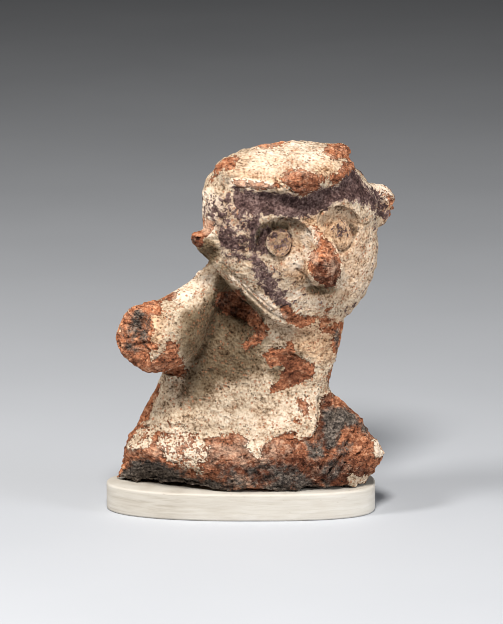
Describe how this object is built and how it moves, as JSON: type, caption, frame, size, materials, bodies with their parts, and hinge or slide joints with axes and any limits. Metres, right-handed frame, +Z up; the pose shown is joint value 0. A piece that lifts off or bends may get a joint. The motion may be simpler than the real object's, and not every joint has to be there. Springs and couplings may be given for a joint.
{
  "type": "human figurine",
  "caption": "Broken hand-modelled terracotta figurine: slab face with pellet eyes and knob nose, flat cap, arm stump and flared torso, on a low fitted display base.",
  "frame": {"origin": "the middle of the display base's flat underside, below the figurine", "axes": "+Z up through the figurine, -Y the front, +X to the viewer's right"},
  "size_m": [0.1032, 0.0479, 0.1345],
  "materials": {
    "slipped_terracotta": "matte fired clay with worn cream slip, dull purple paint and bare orange-brown breaks",
    "painted_board": "off-white brushed paint, eggshell"
  },
  "bodies": {
    "root": {"figurine": "slipped_terracotta", "display_base": "painted_board"}
  },
  "joints": []
}
